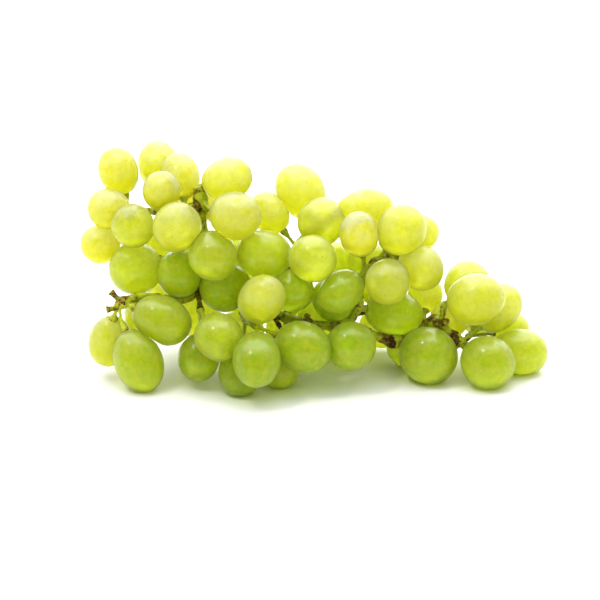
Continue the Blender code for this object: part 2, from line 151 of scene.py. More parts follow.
# Uneven patterns: the size in millimetres, and the noise's detail and roughness. The real pores are
# finer, and would not show.
SKIN_PATTERNS = {
    "cloud": (6.0, 3.0, 0.5), "mottle": (2.0, 3.0, 0.6), "grain": (3.0, 5.0, 0.65),
    "haze": (6.0, 4.0, 0.6), "pores": (1.4, 2.0, 0.5),
}
# Tints laid over the flesh in turn: the tint, where its pattern starts and is full, and the most of it
FLESH_TINTS = {
    "cloud": ("#C0C800", 0.35, 0.7, 0.5), "vein": ("#DCE02A", 0.48, 0.7, 0.25),
    "mottle": ("#DCE02A", 0.45, 0.7, 0.4), "stem_end": ("#D5DC60", -0.75, -1.0, 0.5),
    "speck": ("#9A8A30", 0.12, 0.06, 0.3),
}
VEINS_ROUND = 5.0  # how closely the veins follow each other round a berry
VEIN_STRETCH = 0.3  # veins run lengthwise, so their pattern is drawn out along the berry
VEIN_WANDER = 0.25  # how far they stray from straight lines
SPECK_SPACING = 2.4  # millimetres
RIPENESS_SPREAD = 0.04  # how much the berries of one cluster differ
# The wax bloom is real, and partly a painted highlight: its pale tint is laid on thicker on each
# berry's upper side and on the yellow upper berries, where the light from above falls.
WAX_AND_PAINTED_HAZE_TINT = "#ECECE4"
WAX_AND_PAINTED_HAZE_SHARE = 0.42
BLOOM_BY_RIPENESS = (0.05, 1.1)  # on a green berry, and how much more on a yellow one
BLOOM_SPREAD = (0.8, 1.1)
BLOOM_HAZE = (0.25, 0.7)  # where in the haze the wax starts and is full
PAINTED_HAZE_RISE = (-0.4, 0.9)  # painted highlight: the haze is laid on paler towards a berry's upper side
SKIN_ROUGHNESS = (0.3, 0.18)  # of clean skin, and how much more under the wax
WAX_SHEEN = "#F2F4FF"

# Bark and cork
YOUNG_BARK = "#B4C024"
OLD_BARK = "#7C6A14"
DRY_BARK = "#3A240C"
BARK_PATTERNS = {"mottle": (1.8, 4.0, 0.65), "grain": (0.6, 3.0, 0.5)}  # as for the skin
BARK_SPREAD = 2.6  # how much the bark's age differs from patch to patch
OLD_FROM = (0.35, 1.0)  # the age at which bark starts to turn brown, and is fully so
DRY_FROM = (0.9, 1.4)  # and nearly black
BARK_ROUGHNESS = (-0.2, 1.2, 0.85)  # none at the first age, and this much at the second
CORK_MOTTLE = 0.8  # millimetres
CORK_RISE = (0.35, 0.65)
SCAR_CORK = ("#B4A244", "#D0C462")
WART_CORK = ("#5E3810", "#9A7E26")

# How yellow each cluster is, from green at 0, and how light its flesh is. Partly real ripeness and
# partly painted light and shade: the upper clusters are set yellower where light comes through them,
# and the lowest ones darker where shade falls on them.
CLUSTER_COLOUR_AND_PAINTED_LIGHT = {
    "wing_tip": (0.95, 0.78), "wing_top": (0.92, 0.8), "shoulder": (0.75, 0.9),
    "left_foot": (0.2, 0.75), "left_heart": (0.15, 1.0), "low_front": (0.15, 0.72),
    "belly": (0.3, 1.0), "keel": (0.12, 0.8), "crown": (0.82, 0.9), "right_shoulder": (0.76, 0.9),
    "right_heart": (0.2, 1.0), "right_low": (0.2, 0.75), "tip_top": (0.7, 0.9),
    "tip_end": (0.4, 0.8), "back_left": (0.5, 1.0), "back_middle": (0.4, 1.0),
    "back_right": (0.4, 1.0),
}
# Berries that stand out from their neighbours: what is added to their cluster's two numbers. Some of
# this is painted light: deep berries, such as left_heart 2 and right_heart 2, are set lighter against
# the shade that they stand in.
ODD = {
    ("wing_tip", 3): (-0.35, 0.0), ("wing_top", 3): (0.0, 0.3), ("wing_top", 4): (0.0, 0.25),
    ("shoulder", 1): (-0.4, 0.12), ("left_foot", 0): (0.05, 0.08), ("left_foot", 2): (0.45, 0.0),
    ("left_foot", 3): (0.3, 0.15), ("left_heart", 0): (0.2, -0.16), ("left_heart", 2): (-0.1, 0.35),
    ("low_front", 0): (0.15, 0.15), ("belly", 0): (0.5, 0.25), ("belly", 1): (-0.15, 0.2),
    ("belly", 2): (0.2, 0.0), ("belly", 3): (0.05, 0.22), ("keel", 0): (0.0, 0.05),
    ("keel", 1): (0.15, 0.25), ("crown", 1): (-0.2, 0.25), ("right_shoulder", 0): (0.25, 0.0),
    ("right_shoulder", 4): (-0.15, 0.05), ("right_heart", 1): (0.0, 0.2),
    ("right_heart", 2): (0.1, 0.45), ("right_low", 0): (0.0, 0.45), ("right_low", 2): (0.0, 0.15),
    ("tip_end", 1): (-0.05, 0.0),
}

# The stage, in metres
TABLE_RADIUS = 4.0
TABLE_SIDES = 96
TABLE_WHITE = "#F7F7F5"
SHADE_TINT = "#E4EA74"
SHADE_REACH = 30.0  # millimetres
SHADE_OPENNESS = (0.0, 0.55)  # from the tint to plain white
SURROUND = 1.07  # how bright the room is
PANEL_SIDE = (0.0, 0.6, 0.8)  # the way to the bright panel that the skins mirror: above and behind
PANEL_EDGE = (0.45, 0.75)  # where it starts and is full, by how near a ray points to it
PANEL = (0.0, 3.8)  # how bright it looks in a mirror, outside it and on it
BACK_WALL = (0.1, 1.4)  # how bright the front and the back of the room look in a mirror
BACK_WALL_EDGE = (-0.5, 0.3)  # where that starts to rise and ends, from front to back
BACKDROP = 1.0  # how bright the room looks to the eye
KEY_LIGHT = (2.35, 70.0)  # strength, and how wide the light is, in degrees
KEY_FROM = (0.0, 0.4, 1.0)  # the way from the bunch to the light: above it and behind
SPOT_LIGHT = (0.6, 7.0)  # a small lamp that leaves a soft spot on each berry
SPOT_FROM = (-0.415, -0.206, 0.885)
AIM_ON_FACE = (-6.5, 40.0, -20.0)  # millimetres on the bunch's own face
CAMERA_DISTANCE = 1.4
FIELD_WIDTH = 0.26087  # how wide the view is at the bunch

# Each limb grows from a point of another: (limb, point) or None for the main stem, which starts at
# its cut end. Then come its points and its radius at the root and at the end.
LIMBS = {
    "rachis": (None, [
        (-50, 90, -9), (-48.5, 79, -8), (-49, 68, -6), (-48, 57, -3), (-44, 48, 6), (-32, 40, 8),
        (-18, 34, 1), (-2, 28, -6), (14, 30, -8), (24, 25.5, -7), (35, 22, -6), (47, 31, 1),
        (54.5, 33, -8), (60, 25, -9), (64, 20, -9)], 2.6, 1.4),
    "wing": (("rachis", 1), [(-57, 80, -6), (-69, 78.5, -2), (-82.5, 79.5, 4)], 1.7, 1.2),
    "left_foot": (("rachis", 3), [
        (-50.5, 46, -3), (-55, 40, -8), (-63, 41, -9), (-73, 44, -13), (-81, 42, -17),
        (-86, 39.5, -20), (-86.5, 36.5, -21)], 1.7, 1.1),
    "left_heart": (("rachis", 3), [(-58, 58, 4), (-68, 56, 8)], 1.5, 1.1),
    "low_left": (("left_foot", 0), [(-50, 35, -13)], 1.2, 1.0),
    "low_front": (("rachis", 5), [(-31, 33, -5), (-32.5, 31, -15), (-25, 28.5, -26)], 1.6, 1.1),
    "belly": (("rachis", 6), [
        (-14, 46, -3), (-10, 55, -9), (-10.5, 65, -7), (-6, 70, -5), (3, 74, -2), (7.5, 77, -4)],
        1.7, 1.0),
    "keel": (("rachis", 6), [(-13, 24, -12)], 1.1, 0.9),
    "right_shoulder": (("rachis", 8), [
        (19.5, 38, -8), (19, 47, -11), (18, 54.5, -15), (26, 61, -13), (36, 60.5, -9),
        (42.5, 62.5, -7)], 1.7, 1.0),
    "back_middle": (("rachis", 6), [(-12, 31, 6)], 1.2, 1.0),
    "back_heart": (("rachis", 8), [(14, 32, 6)], 1.2, 1.0),
    "back_right": (("back_heart", 0), [(27, 36, 6)], 1.1, 0.9),
    "tip_up": (("rachis", 12), [(56.5, 38, -11)], 1.2, 1.0),
    "tip_back": (("rachis", 14), [(68, 24, 2)], 1.1, 0.9),
}

# Dry ends where a berry has dropped off: the point each grows from, and its end.
STUBS = [
    (("left_foot", 5), (-88.7, 43.6, -21)),
    (("left_foot", 6), (-90.5, 35.8, -22)),
    (("rachis", 1), (-53, 80.5, -13)),
    (("rachis", 7), (-3.5, 33, -12)),
    (("rachis", 12), (57.8, 30.5, -12)),
]

# The berries of each cluster: the point that each hangs from, its middle, its length and width.
CLUSTERS = {
    "wing_tip": [
        (("wing", 2), (-86.2, 98.8, 6), 21.5, 17.2),
        (("wing", 2), (-91.5, 80.3, -4), 19, 17.8),
        (("wing", 2), (-94, 63, 5), 18, 16.8),
        (("wing", 2), (-78.5, 70.7, -14), 20, 18.7),
    ],
    "wing_top": [
        (("wing", 1), (-70, 100.5, 15), 23, 17.5),
        (("wing", 0), (-59.6, 95.4, 1), 22, 17),
        (("wing", 1), (-67.3, 87.3, -13), 18, 16.3),
        (("wing", 0), (-53, 80, 9), 18, 16.5),
        (("rachis", 1), (-41.5, 81, 1), 18, 16.5),
    ],
    "shoulder": [
        (("wing", 0), (-60, 71.7, -24), 23, 21),
        (("rachis", 2), (-44, 58.5, -21), 25, 20.5),
        (("rachis", 1), (-34.3, 77, -29), 25, 20.6),
        (("rachis", 0), (-38.5, 93, -17), 24, 18.3),
    ],
    "left_foot": [
        (("left_foot", 5), (-63.2, 31.5, -20), 26.5, 20.6),
        (("left_foot", 6), (-78.4, 14.2, -23.5), 28.5, 20.6),
        (("left_foot", 6), (-90, 22.3, -9.5), 25, 18),
        (("left_foot", 4), (-75.5, 35.5, -1), 22, 18.5),
    ],
    "left_heart": [
        (("left_heart", 1), (-80, 53, -2), 24, 22.6),
        (("left_heart", 0), (-59.5, 52, -9), 23, 20),
        (("rachis", 4), (-38.5, 46, -8), 23, 22),
    ],
    "low_front": [
        (("low_left", 0), (-42.5, 26.2, -35), 23, 20.2),
        (("low_left", 0), (-53, 15.8, -14), 21, 17.8),
        (("low_front", 1), (-32, 9, -27), 23, 17.8),
        (("low_front", 2), (-23.3, 13.3, -41), 26.5, 20.5),
    ],
    "belly": [
        (("low_front", 1), (-23.7, 40.3, -32), 26, 19.5),
        (("belly", 0), (-8.5, 43, -16), 21, 18.5),
        (("belly", 1), (-1, 58, -28), 22, 20.2),
        (("belly", 1), (-23.5, 61, -17), 25.5, 21.4),
    ],
    "keel": [
        (("low_front", 2), (-5.5, 19.7, -31), 25.5, 21.5),
        (("keel", 0), (-15, 10.5, -17), 19, 16.5),
        (("rachis", 9), (15.7, 20.3, -24), 23, 21),
    ],
    "crown": [
        (("belly", 4), (-4.5, 88.5, 0), 25.5, 20.5),
        (("belly", 3), (1.5, 73.8, -16), 21, 20.8),
        (("belly", 5), (23.3, 80, -6), 26, 17),
        (("belly", 2), (-21.5, 76.8, -8), 20, 16.2),
    ],
    "right_shoulder": [
        (("right_shoulder", 2), (18.8, 68.5, -22), 20.5, 16.9),
        (("right_shoulder", 3), (36.9, 71.3, -22), 23, 20.8),
        (("right_shoulder", 5), (46, 69.7, -2), 17, 15.5),
        (("right_shoulder", 5), (47.8, 52.8, -14), 22.5, 19),
        (("right_shoulder", 4), (30.5, 47.5, -28), 21, 19),
    ],
    "right_heart": [
        (("right_shoulder", 2), (11.5, 44, -24), 24, 17),
        (("rachis", 8), (8, 40, -6), 20, 18),
        (("rachis", 7), (2, 33, 10), 20, 18),
    ],
    "right_low": [
        (("right_shoulder", 0), (35, 35, -5), 26, 19.6),
        (("rachis", 10), (49.5, 16.5, -13), 26, 24.6),
        (("rachis", 10), (41.5, 20, 7), 20, 18),
    ],
    "tip_top": [
        (("tip_up", 0), (70.3, 40, -19), 26, 21.8),
        (("tip_up", 0), (68, 47.8, 0), 21, 19.8),
        (("rachis", 14), (80, 36.3, -1), 24, 18.6),
        (("rachis", 12), (61.5, 29, 8), 18, 16.8),
        (("rachis", 11), (47, 43.5, 7), 17, 15.2),
    ],
    "tip_end": [
        (("rachis", 14), (91.5, 16.5, -9), 25.5, 20),
        (("rachis", 14), (74, 12.3, -22), 24.5, 22.6),
        (("tip_back", 0), (88.5, 28, 13), 17, 14.8),
        (("tip_back", 0), (71, 33, 18), 19, 17),
    ],
    "back_left": [
        (("left_heart", 1), (-66, 47, 20), 21, 19),
        (("rachis", 4), (-50, 33, 22), 22, 20),
        (("left_heart", 0), (-56, 62, 16), 21, 19),
        (("left_heart", 1), (-72, 64, 20), 21, 19),
    ],
    "back_middle": [
        (("rachis", 3), (-36, 60, 10), 21, 19),
        (("rachis", 4), (-32, 44, 20), 22, 19.5),
        (("rachis", 5), (-34, 27, 22), 22, 19.5),
        (("belly", 0), (-17, 54, 9), 20, 18),
        (("back_middle", 0), (-12, 42, 14), 21, 19),
        (("back_middle", 0), (-12, 27, 20), 22, 19.5),
    ],
    "back_right": [
        (("back_heart", 0), (8, 26, 20), 22, 19.5),
        (("back_heart", 0), (14, 44, 16), 21, 19),
        (("back_right", 0), (30, 46, 12), 21, 18.5),
        (("back_right", 0), (30, 29, 19), 21, 19.5),
        (("right_shoulder", 3), (24.5, 57, 3), 20, 18),
        (("belly", 1), (9, 57, 6), 19, 17),
        (("right_shoulder", 4), (37, 59, 5), 19, 17),
    ],
}


def unit(vectors):
    """The vectors at length 1."""
    return vectors / np.linalg.norm(vectors, axis=-1, keepdims=True)


class Berries:
    """Every berry of the bunch, in millimetres on the bunch's own face."""

    def __init__(self):
        rows = [(name, *row) for name, cluster in CLUSTERS.items() for row in cluster]
        self.cluster = [row[0] for row in rows]
        self.root = [row[1] for row in rows]
        self.forks = {(limb, k): np.array(point, float) for limb, (_, points, *_) in LIMBS.items()
                      for k, point in enumerate(points)}
        self.middle = np.array([row[2] for row in rows], float)
        self.half_length = np.array([row[3] for row in rows]) / 2
        self.half_width = np.array([row[4] for row in rows]) / 2
        self.aim()

    def aim(self):
        """A berry's long axis follows the stem that it hangs on, from the fork to its tip."""
        self.axis = unit(self.middle - np.array([self.forks[root] for root in self.root]))

    def stem_end(self, i):
        """The point of berry i where its stem goes in."""
        return self.middle[i] - self.axis[i] * self.half_length[i]

    def support(self, i, way):
        """How far berry i reaches along a direction: the distance of its tangent plane."""
        slant = (self.axis[i] * way).sum(-1) ** 2
        long, wide = self.half_length[i] ** 2, self.half_width[i] ** 2
        return np.sqrt(wide + (long - wide) * slant)

    def radius(self, i, way):
        """The distance from berry i's middle to its skin along a direction."""
        slant = (self.axis[i] * way).sum(-1) ** 2
        return 1 / np.sqrt(slant / self.half_length[i] ** 2 + (1 - slant) / self.half_width[i] ** 2)

    def push_out(self, point, room):
        """The point, moved straight out of any berry that it is in or nearer to than the room."""
        for _ in range(PUSHES):
            away = point - self.middle
            along = (away * self.axis).sum(-1) ** 2
            across = (away ** 2).sum(-1) - along
            depth = np.sqrt(
                along / (self.half_length + room) ** 2 + across / (self.half_width + room) ** 2)
            i = depth.argmin()
            if depth[i] < 1:
                point = self.middle[i] + away[i] / depth[i]
        return point

    def neighbours(self):
        """For each cluster, the pairs that tie it together by the smallest gaps."""
        ties = []
        for name in CLUSTERS:
            group = [i for i, cluster in enumerate(self.cluster) if cluster == name]
            pairs = [(i, j) for i in group for j in group if i < j]
            joined = {i: {i} for i in group}
            for i, j in sorted(pairs, key=lambda pair: self.gap(*pair)):
                if joined[i] is not joined[j]:
                    ties.append((i, j))
                    joined[i] |= joined[j]
                    for k in joined[i]:
                        joined[k] = joined[i]
        return ties

    def gap(self, i, j):
        """The gap between two berries' skins along the line of their middles."""
        apart = self.middle[j] - self.middle[i]
        way = unit(apart)
        return np.linalg.norm(apart, axis=-1) - self.radius(i, way) - self.radius(j, way)

    def shift(self, i, j, amount):
        """Moves each pair apart by an amount, half each, the easier way more."""
        way = unit(self.middle[j] - self.middle[i])
        ease = way * GIVE
        step = ease * (amount / 2 / (ease * way).sum(-1))[:, None]
        np.add.at(self.middle, i, -step)
        np.add.at(self.middle, j, step)

    def settle(self):
        """Berries swell until they press on each other and on the table, and each gives way."""
        i, j = np.triu_indices(len(self.middle), 1)
        kin = np.array([self.cluster[a] == self.cluster[b] for a, b in zip(i, j)])
        tie_i, tie_j = np.array(self.neighbours()).T
        up = np.array([0.0, math.cos(FACE_LEAN), -math.sin(FACE_LEAN)])
        for _ in range(SETTLING_ROUNDS):
            self.aim()
            apart = self.middle[j] - self.middle[i]
            distance = np.linalg.norm(apart, axis=1)
            way = apart / distance[:, None]
            pressed = self.radius(i, way) + self.radius(j, way) - MOST_PRESS
            clear = self.support(i, way) + self.support(j, way) + CLEAR
            short = np.where(kin, pressed, clear) - distance
            close = short > 0
            self.shift(i[close], j[close], HASTE * short[close])
            self.shift(tie_i, tie_j, -HASTE * np.maximum(self.gap(tie_i, tie_j) + PRESS, 0))
            every = np.arange(len(self.middle))
            lowest = self.middle @ up - TABLE_DROP - self.support(every, up)
            sink = lowest + FLAT_DEPTH
            resting = lowest < NEAR_TABLE
            self.middle[resting] -= HASTE * sink[resting, None] * up
        self.aim()


def lay_down(points):
    """Points on the bunch's own face, turned to lie on the table, still in millimetres."""
    along, up, back = np.moveaxis(np.asarray(points, float), -1, 0)
    lean_sin, lean_cos = math.sin(FACE_LEAN), math.cos(FACE_LEAN)
    return np.stack(
        [along, up * lean_sin + back * lean_cos, up * lean_cos - back * lean_sin - TABLE_DROP], -1)


def spline_through(points, step):
    """A smooth curve through points, and the place along it of each of them."""
    points = np.asarray(points, float)
    ends = np.vstack([2 * points[0] - points[1], points, 2 * points[-1] - points[-2]])
    path = [points[0]]
    knots = [0]
    for k in range(1, len(points)):
        before, start, end, after = ends[k - 1:k + 3]
        parts = max(1, round(np.linalg.norm(end - start) / step))
        for t in np.arange(1, parts + 1) / parts:
            path.append(0.5 * (
                2 * start + (end - before) * t + (2 * before - 5 * start + 4 * end - after) * t ** 2
                + (3 * start - before - 3 * end + after) * t ** 3))
        knots.append(len(path) - 1)
    return np.array(path), knots


class Stem:
    """One run of stem: its points, its radius at each, and where it grows from."""

    def __init__(self, points, radii, root=None, berry=None):
        self.points = np.array(points, float)
        self.chosen = self.points.copy()
        self.radii = np.array(radii, float)
        self.root = root
        self.back = 0.0
        self.berry = berry


class Stalk:
    """The main stem, its side stems, dry stubs, and the short stem of every berry."""

    def __init__(self, berries):
        self.berries = berries
        self.stems = []
        self.place = {}
        for name, (root, points, thick, thin) in LIMBS.items():
            if root:
                points = [self.point(root), *points]
            path, knots = spline_through(points, STEM_STEP)
            self.stems.append(Stem(path, np.linspace(thick, thin, len(path)), root))
            for k, knot in enumerate(knots[1:] if root else knots):
                self.place[name, k] = (self.stems[-1], knot)
        self.stems[0].radii[0] *= CUT_END_SWELL
        for root, tip in STUBS:
            start = self.point(root)
            self.stems.append(Stem([start, (start + tip) / 2, tip], STUB_RADII, root))
        for i, root in enumerate(berries.root):
            self.stems.append(Stem(np.zeros((len(PEDICEL_RADII), 3)), PEDICEL_RADII, root, i))
        self.spread()
        self.hang()

    def spread(self):
        """Stems that leave one fork stand one behind another along it."""
        crowd = {}
        for stem in self.stems[1:]:
            stem.back = crowd.get(stem.root, 0) * FORK_SPREAD
            crowd[stem.root] = crowd.get(stem.root, 0) + 1

    def point(self, place, back=0.0):
        """Where a (limb, index) pair is now, or a place this far back along that limb."""
        stem, index = self.place[place]
        while index and back:
            run = stem.points[index - 1] - stem.points[index]
            length = np.linalg.norm(run)
            if back < length:
                return stem.points[index] + run * back / length
            back -= length
            index -= 1
        return stem.points[index]

    def hang(self):
        """Each berry's short stem leaves its fork and meets the berry straight on."""
        for stem in self.stems:
            if stem.berry is None:
                continue
            berries, i = self.berries, stem.berry
            start = self.point(stem.root, stem.back)
            seat = berries.stem_end(i) + berries.axis[i] * PEDICEL_SEAT
            room = np.linalg.norm(berries.stem_end(i) - start)
            neck = berries.stem_end(i) - berries.axis[i] * min(PEDICEL_NECK, room / 2)
            bend = neck - berries.axis[i] * np.linalg.norm(neck - start) * PEDICEL_BEND
            for k, t in enumerate((0, 0.5, 1)):
                stem.points[k] = (1 - t) ** 2 * start + 2 * t * (1 - t) * bend + t ** 2 * neck
            stem.points[3] = seat
            stem.chosen = stem.points.copy()

    def bend_clear(self):
        """Stems find their way between the berries, and stay near where they were drawn."""
        for _ in range(STEM_ROUNDS):
            for stem in self.stems:
                if stem.root:
                    stem.points[0] = self.point(stem.root, stem.back)
                last = len(stem.points) - (2 if stem.berry is not None else 0)
                inner = slice(1, last if last < len(stem.points) else last - 1)
                points = stem.points
                between = (points[:-2] + points[2:]) / 2
                points[inner] += STRAIGHTEN * (between[:inner.stop - 1] - points[inner])
                points[inner] += HOLD_PLACE * (stem.chosen[inner] - points[inner])
                first = 1 if stem.root else 0
                for k in range(first, last):
                    points[k] = self.berries.push_out(points[k], stem.radii[k] + SOCKET_ROOM)
        for (name, index), (stem, knot) in self.place.items():
            self.berries.forks[name, index] = stem.points[knot].copy()


def bunch_centre(berries):
    """The middle of the bunch's box along and across the table, in millimetres."""
    middle = lay_down(berries.middle)
    axis = lay_down(berries.axis) - lay_down(np.zeros(3))
    reach = np.sqrt(berries.half_width[:, None] ** 2 + axis ** 2 * (
        berries.half_length ** 2 - berries.half_width ** 2)[:, None])
    centre = ((middle - reach).min(0) + (middle + reach).max(0)) / 2
    return np.array([centre[0], centre[1], 0.0])


def grow_bunch():
    """The berries and the stalk, each in its settled place."""
    berries = Berries()
    berries.settle()
    stalk = Stalk(berries)
    for _ in range(TURNS_TO_REST):
        stalk.bend_clear()
        berries.settle()
        stalk.hang()
    return berries, stalk


BUNCH, STALK = grow_bunch()
CENTRE = bunch_centre(BUNCH)


def to_world(points):
    """Points on the bunch's own face, in the frame's place, still in millimetres."""
    return lay_down(points) - CENTRE


def smooth(start, full, values):
    """0 before start and 1 past full, with a soft rise between. Start may be above full."""
    t = np.clip((values - start) / (full - start), 0, 1)
    return t * t * (3 - 2 * t)


# Node trees

def set_inputs(tree, node, inputs):
    """Sets a node's own sockets, or links them to other nodes' outputs."""
    for socket, value in inputs.items():
        if isinstance(value, bpy.types.NodeSocket):
            tree.links.new(value, node.inputs[socket])
        else:
            node.inputs[socket].default_value = value


def add(tree, kind, inputs=None, **settings):
    """Adds a node. Its settings are properties; an input is a value or another node's output."""
    made = tree.nodes.new(kind)
    for name, value in settings.items():
        setattr(made, name, value)
    set_inputs(tree, made, inputs or {})
    return made


def linear(hex_colour):
    """An sRGB hex colour as the linear values that shaders take."""
    parts = [int(hex_colour[k:k + 2], 16) / 255 for k in (1, 3, 5)]
    return (*[c / 12.92 if c <= 0.04045 else ((c + 0.055) / 1.055) ** 2.4 for c in parts], 1.0)


def run_tree(name, mesh, build, material, sizes):
    """Runs a Geometry Nodes tree on a mesh and gives back the plain mesh that it makes.

    Its sizes and its material are named inputs. It ends with no instances and its material set.
    """
    kinds = {int: "NodeSocketInt", float: "NodeSocketFloat"}
    tree = bpy.data.node_groups.new(name, "GeometryNodeTree")
    for way in ("INPUT", "OUTPUT"):
        tree.interface.new_socket("Geometry", in_out=way, socket_type="NodeSocketGeometry")
    inputs = {**sizes, "Material": material}
    sockets = {
        label: tree.interface.new_socket(
            label, in_out="INPUT", socket_type=kinds.get(type(value), "NodeSocketMaterial"))
        for label, value in inputs.items()}
    given = add(tree, "NodeGroupInput").outputs
    real = add(tree, "GeometryNodeRealizeInstances", {"Geometry": build(tree, given)})
    done = add(tree, "GeometryNodeSetMaterial",
               {"Geometry": real.outputs[0], "Material": given["Material"]})
    add(tree, "NodeGroupOutput", {"Geometry": done.outputs[0]})
    host = new_object(name, mesh)
    modifier = host.modifiers.new(name, "NODES")
    modifier.node_group = tree
    for label, value in inputs.items():
        modifier[sockets[label].identifier] = value
    return as_mesh(host)


def set_on_points(tree, given, thing, size):
    """Sets a thing on every point, turned to the axis that the point keeps."""
    axis = add(tree, "GeometryNodeInputNamedAttribute", {"Name": "axis"}, data_type="FLOAT_VECTOR")
    turned = add(tree, "FunctionNodeAlignRotationToVector", {"Vector": axis.outputs[0]}, axis="Z")
    return add(tree, "GeometryNodeInstanceOnPoints",
               {"Points": given["Geometry"], "Instance": thing, "Rotation": turned.outputs[0],
                "Scale": size}).outputs["Instances"]


def roughen(tree, shape, scale, height):
    """Raises and sinks a surface by noise of a scale, as high as this in all."""
    noise = add(tree, "ShaderNodeTexNoise", {"Scale": scale, "Detail": 2.0})
    centred = add(tree, "ShaderNodeMath", {0: noise.outputs[0], 1: 0.5}, operation="SUBTRACT")
    lift = add(tree, "ShaderNodeMath", {0: centred.outputs[0], 1: height}, operation="MULTIPLY")
    normal = add(tree, "GeometryNodeInputNormal")
    offset = add(tree, "ShaderNodeVectorMath", {0: normal.outputs[0], "Scale": lift.outputs[0]},
                 operation="SCALE")
    return add(tree, "GeometryNodeSetPosition",
               {"Geometry": shape, "Offset": offset.outputs[0]}).outputs[0]


# Objects and meshes

def new_object(name, data):
    """An object in the scene."""
    thing = bpy.data.objects.new(name, data)
    bpy.context.scene.collection.objects.link(thing)
    return thing


def as_mesh(host):
    """The mesh of an object with its modifiers applied. The object itself is done with."""
    graph = bpy.context.evaluated_depsgraph_get()
    mesh = bpy.data.meshes.new_from_object(host.evaluated_get(graph))
    bpy.data.objects.remove(host)
    return mesh


def give(mesh, label, values):
    """Stores a value or a vector for each point of a mesh."""
    values = np.asarray(values, np.float32)
    kind, field = ("FLOAT", "value") if values.ndim == 1 else ("FLOAT_VECTOR", "vector")
    mesh.attributes.new(label, kind, "POINT").data.foreach_set(field, values.ravel())


def read(points, field):
    """One vector for each point, as rows."""
    values = np.empty(len(points) * 3, np.float32)
    points.foreach_get(field, values)
    return values.reshape(-1, 3).astype(float)


def wire_mesh(name, places, edges=()):
    """A mesh of points and edges with no faces, for a Geometry Nodes tree to work on."""
    mesh = bpy.data.meshes.new(name)
    mesh.from_pydata((np.asarray(places) * MM).tolist(), list(edges), [])
    return mesh


def finish_piece(name, mesh, nodes=()):
    """Makes a piece of the bunch from a mesh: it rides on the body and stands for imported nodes."""
    mesh.shade_smooth()
    piece = new_object(name, mesh)
    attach(piece, "root")
    if nodes:
        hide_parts(*nodes)


# Berries

class Shapes:
    """The full-grown berries in the frame's place, in millimetres, and how each one differs."""

    def __init__(self):
        draw = np.random.default_rng(SEED)
        count = len(BUNCH.middle)
        self.middle = to_world(BUNCH.middle)
        self.axis = to_world(BUNCH.axis) - to_world(np.zeros(3))
        self.long = BUNCH.half_length + SWELL
        self.wide = BUNCH.half_width + SWELL
        self.taper = FULLER_TIP + draw.normal(0, TAPER_SPREAD, count)
        self.chance = draw.random(count)
        # Each berry's yellowness and lightness, partly painted light and shade
        berry_look = np.array([CLUSTER_COLOUR_AND_PAINTED_LIGHT[name] for name in BUNCH.cluster])
        for (name, k), more in ODD.items():
            berry_look[BUNCH.cluster.index(name) + k] += more
        self.yellowness, self.tone = berry_look.T
        self.yellowness = self.yellowness + draw.normal(0, RIPENESS_SPREAD, count)
        least, more = BLOOM_BY_RIPENESS
        self.wax_and_painted_haze = (least + more * self.yellowness ** 2) * draw.uniform(*BLOOM_SPREAD, count)

    def reach(self, i, way):
        """How far berry i reaches along a direction."""
        slant = (self.axis[i] @ way) ** 2
        return math.sqrt(self.wide[i] ** 2 + (self.long[i] ** 2 - self.wide[i] ** 2) * slant)


def egg_tree(tree, given):
    """A ball on every point, stretched along its axis. Each place on it keeps where it was."""
    ball = add(tree, "GeometryNodeMeshUVSphere",
               {"Segments": given["Segments"], "Rings": given["Rings"]})
    place = add(tree, "GeometryNodeInputPosition")
    marked = add(tree, "GeometryNodeStoreNamedAttribute",
                 {"Geometry": ball.outputs["Mesh"], "Name": "on_berry", "Value": place.outputs[0]},
                 data_type="FLOAT_VECTOR")
    size = add(tree, "GeometryNodeInputNamedAttribute", {"Name": "size"}, data_type="FLOAT_VECTOR")
    return set_on_points(tree, given, marked.outputs["Geometry"], size.outputs[0])


def egg_form(shapes, i, on_berry):
    """How each place of berry i departs from a plain egg: wider, further along, and to the side."""
    x, y, z = on_berry.T
    turn = np.arctan2(y, x)
    wider = shapes.taper[i] * z
    for waves, share in LUMPS:
        phase = waves * 2 * math.pi * (shapes.chance[i] * LUMP_TURNS[0] + LUMP_TURNS[1] * waves)
        wider = wider + share * np.sin(waves * turn + phase + z) * (1 - z * z)
    out = np.hypot(x, y) * shapes.wide[i]
    along = STEM_DIMPLE[0] * np.exp(-(out / STEM_DIMPLE[1]) ** 2) * (z < 0)
    along = along - TIP_DIMPLE[0] * np.exp(-(out / TIP_DIMPLE[1]) ** 2) * (z > 0)
    sideways = BEND_SPREAD * np.sin(BEND_TURNS * shapes.chance[i]) * (1 - z * z)
    return wider, along, sideways


def flatten(beyond):
    """How far places move back that lie this far beyond a wall, with a round edge to the flat."""
    return (beyond - np.sqrt(beyond ** 2 + PRESS_EDGE ** 2)) / 2 - beyond


def press(points, shapes, i):
    """Points of berry i, pressed flat where it meets its neighbours and the table."""
    for j, middle in enumerate(shapes.middle):
        if j == i:
            continue
        apart = middle - shapes.middle[i]
        distance = np.linalg.norm(apart)
        way = apart / distance
        reach, other = shapes.reach(i, way), shapes.reach(j, way)
        if reach + other > distance - CLEAR:
            wall = (distance + reach - other) / 2
            beyond = (points - shapes.middle[i]) @ way - wall
            points = points + flatten(beyond)[:, None] * way
    points[:, 2] -= flatten(-points[:, 2])
    return points


